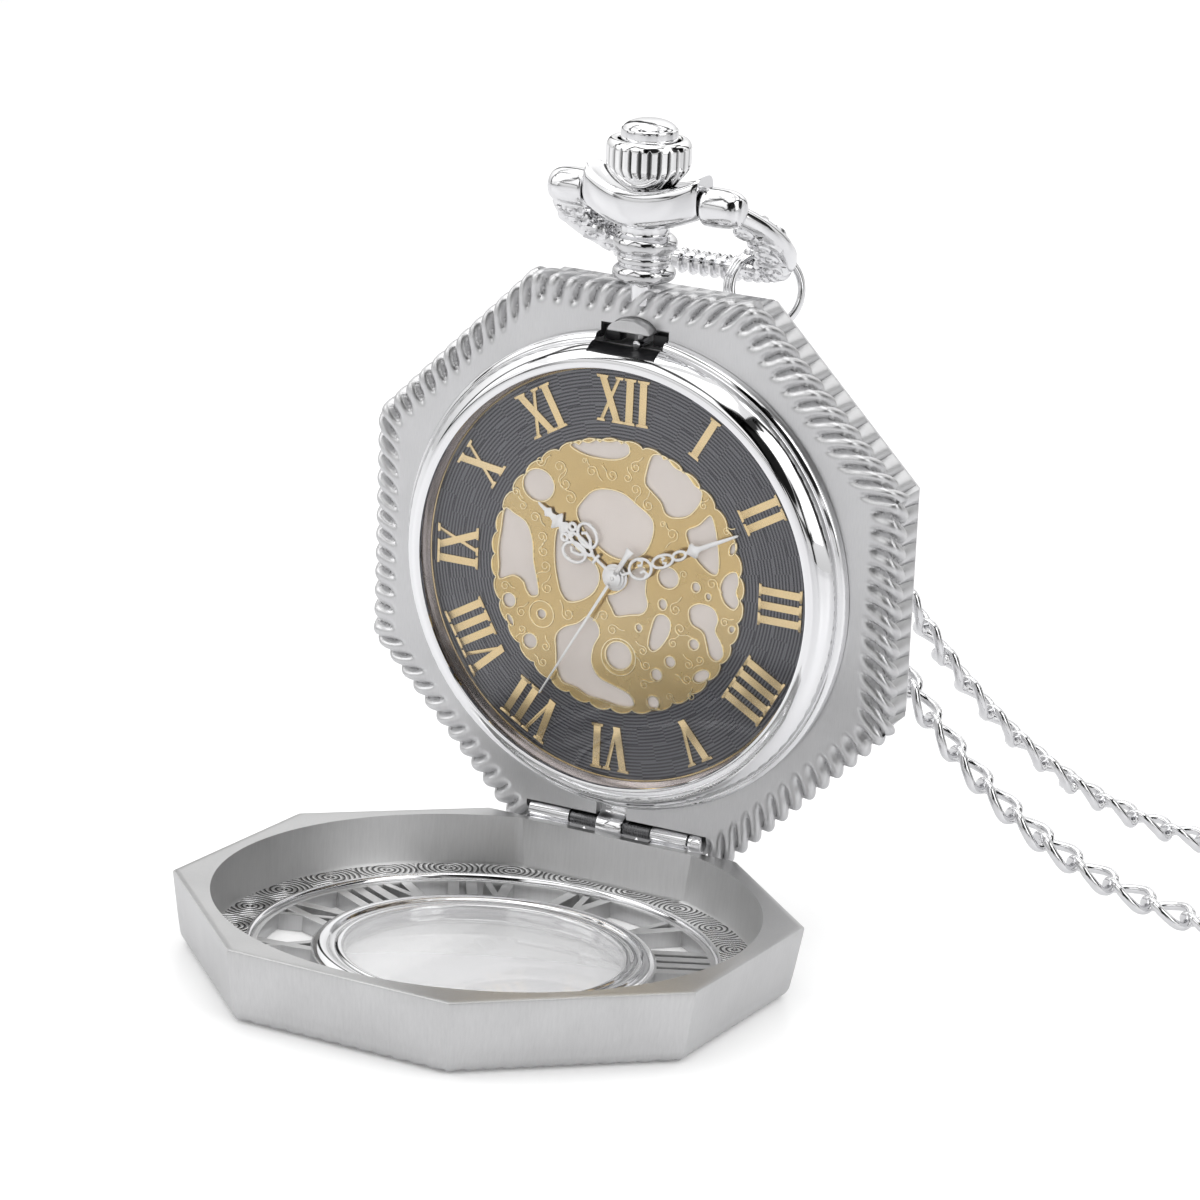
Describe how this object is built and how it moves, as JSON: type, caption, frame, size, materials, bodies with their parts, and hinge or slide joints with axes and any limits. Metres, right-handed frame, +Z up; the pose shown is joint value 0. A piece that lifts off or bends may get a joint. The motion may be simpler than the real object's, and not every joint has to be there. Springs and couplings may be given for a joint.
{
  "type": "pocket watch",
  "caption": "Octagonal half-hunter pocket watch standing open on its lid, with fluted crown and push button, scrolled bow, jump ring and curb chain strands.",
  "frame": {"origin": "on the open lid's outer face, which lies on the table, in the watch's centre plane and 2.45 mm in front of the lid hinge's axis", "axes": "+X along the hinge to the right of the dial, +Y to the rear of the watch, +Z up; the open lid lies flat in front, towards -Y"},
  "size_m": [0.0732, 0.0861, 0.067],
  "materials": {
    "middle_case": "satin",
    "back_cover": "satin",
    "bezel": "mirror polished",
    "crystal": "clear",
    "crystal_gasket": "white nylon",
    "dial_ring": "champagne",
    "dial_plate": "gunmetal, finely grooved",
    "dial_backing": "cream, matt",
    "skeleton_disc": "gilt",
    "movement_holder": "white nylon",
    "mainplate": "turned",
    "train_bridge": "turned",
    "bridge_screw_1": "satin",
    "bridge_screw_2": "satin",
    "stator": "satin",
    "motor_coil": "enamelled copper winding",
    "battery": "mirror polished",
    "battery_strap": "satin",
    "circuit_board": "printed circuit board",
    "pendant": "mirror polished",
    "bow_pin_left": "satin",
    "bow_pin_right": "satin",
    "hinge_pin": "satin",
    "lift_spring": "mirror polished",
    "latch_catch": "mirror polished",
    "lid_shell": "satin",
    "lid_lens": "clear",
    "lens_ring": "mirror polished",
    "sliding_pinion": "satin",
    "crown": "mirror polished",
    "winding_stem": "satin",
    "push_button": "mirror polished",
    "second_hand": "silvered",
    "fourth_wheel": "turned",
    "third_wheel": "turned",
    "fifth_wheel": "turned",
    "rotor": "satin",
    "minute_hand": "silvered",
    "centre_wheel": "turned",
    "minute_wheel": "turned",
    "setting_wheel": "turned",
    "hour_hand": "silvered",
    "hour_wheel": "turned",
    "setting_lever": "satin",
    "yoke": "satin",
    "bow": "mirror polished",
    "jump_ring": "mirror polished",
    "chain_upper_1": "mirror polished",
    "chain_upper_2": "mirror polished",
    "chain_upper_3": "mirror polished",
    "chain_upper_4": "mirror polished",
    "chain_lower_1": "mirror polished",
    "chain_lower_2": "mirror polished",
    "chain_lower_3": "mirror polished",
    "chain_lower_4": "mirror polished"
  },
  "bodies": {
    "case": {"middle_case": "middle_case", "back_cover": "back_cover", "bezel": "bezel", "crystal": "crystal", "crystal_gasket": "crystal_gasket", "dial_ring": "dial_ring", "dial_plate": "dial_plate", "dial_backing": "dial_backing", "skeleton_disc": "skeleton_disc", "movement_holder": "movement_holder", "mainplate": "mainplate", "train_bridge": "train_bridge", "bridge_screw_1": "bridge_screw_1", "bridge_screw_2": "bridge_screw_2", "stator": "stator", "motor_coil": "motor_coil", "battery": "battery", "battery_strap": "battery_strap", "circuit_board": "circuit_board", "pendant": "pendant", "bow_pin_left": "bow_pin_left", "bow_pin_right": "bow_pin_right", "hinge_pin": "hinge_pin", "lift_spring": "lift_spring"},
    "catch": {"latch_catch": "latch_catch"},
    "lid": {"lid_shell": "lid_shell", "lid_lens": "lid_lens", "lens_ring": "lens_ring"},
    "clutch": {"sliding_pinion": "sliding_pinion"},
    "crown": {"crown": "crown", "winding_stem": "winding_stem"},
    "button": {"push_button": "push_button"},
    "seconds": {"second_hand": "second_hand", "fourth_wheel": "fourth_wheel"},
    "third_wheel": {"third_wheel": "third_wheel"},
    "fifth_wheel": {"fifth_wheel": "fifth_wheel"},
    "rotor": {"rotor": "rotor"},
    "minutes": {"minute_hand": "minute_hand", "centre_wheel": "centre_wheel"},
    "minute_wheel": {"minute_wheel": "minute_wheel"},
    "setting_wheel": {"setting_wheel": "setting_wheel"},
    "hours": {"hour_hand": "hour_hand", "hour_wheel": "hour_wheel"},
    "setting_lever": {"setting_lever": "setting_lever"},
    "yoke": {"yoke": "yoke"},
    "bow": {"bow": "bow"},
    "ring": {"jump_ring": "jump_ring"},
    "upper_strand_1": {"chain_upper_1": "chain_upper_1"},
    "upper_strand_2": {"chain_upper_2": "chain_upper_2"},
    "upper_strand_3": {"chain_upper_3": "chain_upper_3"},
    "upper_strand_4": {"chain_upper_4": "chain_upper_4"},
    "lower_strand_1": {"chain_lower_1": "chain_lower_1"},
    "lower_strand_2": {"chain_lower_2": "chain_lower_2"},
    "lower_strand_3": {"chain_lower_3": "chain_lower_3"},
    "lower_strand_4": {"chain_lower_4": "chain_lower_4"}
  },
  "joints": [
    {"name": "lid_hinge", "type": "hinge", "parent": "case", "child": "lid", "pos_m": [0, 0.00245, 0.00658], "axis": [-1, 0, 0], "range_deg": [0, 86.69]},
    {"name": "crown_turn", "type": "hinge", "parent": "case", "child": "clutch", "pos_m": [0, 0.00121, 0.04102], "axis": [0, -0.0577, 0.9983], "continuous": true},
    {"name": "crown_pull", "type": "slide", "parent": "clutch", "child": "crown", "axis": [0, -0.0577, 0.9983], "range_m": [0, 0.001]},
    {"name": "button_press", "type": "slide", "parent": "crown", "child": "button", "axis": [0, 0.0577, -0.9983], "range_m": [0, 0.0008]},
    {"name": "latch_release", "type": "slide", "parent": "case", "child": "catch", "axis": [0, 0.0577, -0.9983], "range_m": [0, 0.0006]},
    {"name": "second_hand_turn", "type": "hinge", "parent": "case", "child": "seconds", "pos_m": [0, 0.0007, 0.02897], "axis": [0, 0.9983, 0.0577], "continuous": true},
    {"name": "third_wheel_turn", "type": "hinge", "parent": "case", "child": "third_wheel", "pos_m": [-0.0026, 0.00079, 0.02747], "axis": [0, 0.9983, 0.0577], "continuous": true},
    {"name": "minute_hand_turn", "type": "hinge", "parent": "case", "child": "minutes", "pos_m": [0, 0.0007, 0.02897], "axis": [0, 0.9983, 0.0577], "continuous": true},
    {"name": "minute_wheel_turn", "type": "hinge", "parent": "case", "child": "minute_wheel", "pos_m": [0, 0.00057, 0.03136], "axis": [0, 0.9983, 0.0577], "continuous": true},
    {"name": "hour_hand_turn", "type": "hinge", "parent": "case", "child": "hours", "pos_m": [0, 0.0007, 0.02897], "axis": [0, 0.9983, 0.0577], "continuous": true},
    {"name": "setting_wheel_turn", "type": "hinge", "parent": "case", "child": "setting_wheel", "pos_m": [0, 0.00038, 0.03466], "axis": [0, 0.9983, 0.0577], "continuous": true},
    {"name": "fifth_wheel_turn", "type": "hinge", "parent": "case", "child": "fifth_wheel", "pos_m": [0.0026, 0.00062, 0.03046], "axis": [0, 0.9983, 0.0577], "continuous": true},
    {"name": "rotor_turn", "type": "hinge", "parent": "case", "child": "rotor", "pos_m": [0.0047, 0.00062, 0.03046], "axis": [0, 0.9983, 0.0577], "continuous": true},
    {"name": "setting_lever_swing", "type": "hinge", "parent": "case", "child": "setting_lever", "pos_m": [0.0026, 0.00005, 0.04035], "axis": [0, -0.9983, -0.0577], "range_deg": [0, 7.5]},
    {"name": "yoke_swing", "type": "hinge", "parent": "case", "child": "yoke", "pos_m": [-0.0038, 0.00015, 0.03855], "axis": [0, -0.9983, -0.0577], "range_deg": [-5, 0]},
    {"name": "bow_swing", "type": "hinge", "parent": "case", "child": "bow", "pos_m": [0, 0.00009, 0.06038], "axis": [1, 0, 0], "range_deg": [-2, 250]},
    {"name": "ring_swing", "type": "hinge", "parent": "bow", "child": "ring", "pos_m": [0.00592, 0.01102, 0.0539], "axis": [0.8793, -0.4096, 0.2431], "range_deg": [-1.5, 12]},
    {"name": "upper_strand_hinge_1", "type": "hinge", "parent": "ring", "child": "upper_strand_1", "pos_m": [0.00726, 0.01116, 0.04982], "axis": [-0.6387, 0.7695, 0], "range_deg": [-15, 4]},
    {"name": "upper_strand_hinge_2", "type": "hinge", "parent": "upper_strand_1", "child": "upper_strand_2", "pos_m": [0.01255, 0.01741, 0.03493], "axis": [-0.6387, 0.7695, 0], "range_deg": [-15, 15]},
    {"name": "upper_strand_hinge_3", "type": "hinge", "parent": "upper_strand_2", "child": "upper_strand_3", "pos_m": [0.01965, 0.02343, 0.02071], "axis": [-0.6387, 0.7695, 0], "range_deg": [-15, 15]},
    {"name": "upper_strand_hinge_4", "type": "hinge", "parent": "upper_strand_3", "child": "upper_strand_4", "pos_m": [0.02928, 0.03143, 0.00928], "axis": [-0.6387, 0.7695, 0], "range_deg": [-15, 15]},
    {"name": "lower_strand_hinge_1", "type": "hinge", "parent": "ring", "child": "lower_strand_1", "pos_m": [0.00564, 0.0097, 0.04982], "axis": [-0.2149, 0.9766, 0], "range_deg": [-5, 15]},
    {"name": "lower_strand_hinge_2", "type": "hinge", "parent": "lower_strand_1", "child": "lower_strand_2", "pos_m": [0.01192, 0.013, 0.03441], "axis": [-0.2149, 0.9766, 0], "range_deg": [-15, 15]},
    {"name": "lower_strand_hinge_3", "type": "hinge", "parent": "lower_strand_2", "child": "lower_strand_3", "pos_m": [0.02041, 0.01495, 0.01982], "axis": [-0.2149, 0.9766, 0], "range_deg": [-15, 15]},
    {"name": "lower_strand_hinge_4", "type": "hinge", "parent": "lower_strand_3", "child": "lower_strand_4", "pos_m": [0.0324, 0.01759, 0.00817], "axis": [-0.2149, 0.9766, 0], "range_deg": [-15, 15]}
  ],
  "couplings": [
    {"joint": "latch_release", "follows": "button_press", "ratio": 0.75},
    {"joint": "third_wheel_turn", "follows": "second_hand_turn", "ratio": -0.13333},
    {"joint": "minute_hand_turn", "follows": "second_hand_turn", "ratio": 0.016667},
    {"joint": "minute_wheel_turn", "follows": "second_hand_turn", "ratio": -0.0055556},
    {"joint": "hour_hand_turn", "follows": "second_hand_turn", "ratio": 0.0013889},
    {"joint": "setting_wheel_turn", "follows": "second_hand_turn", "ratio": 0.0066667},
    {"joint": "fifth_wheel_turn", "follows": "second_hand_turn", "ratio": -5},
    {"joint": "rotor_turn", "follows": "second_hand_turn", "ratio": 30},
    {"joint": "setting_lever_swing", "follows": "crown_pull", "rad_per_m": 120},
    {"joint": "yoke_swing", "follows": "crown_pull", "rad_per_m": -80}
  ]
}
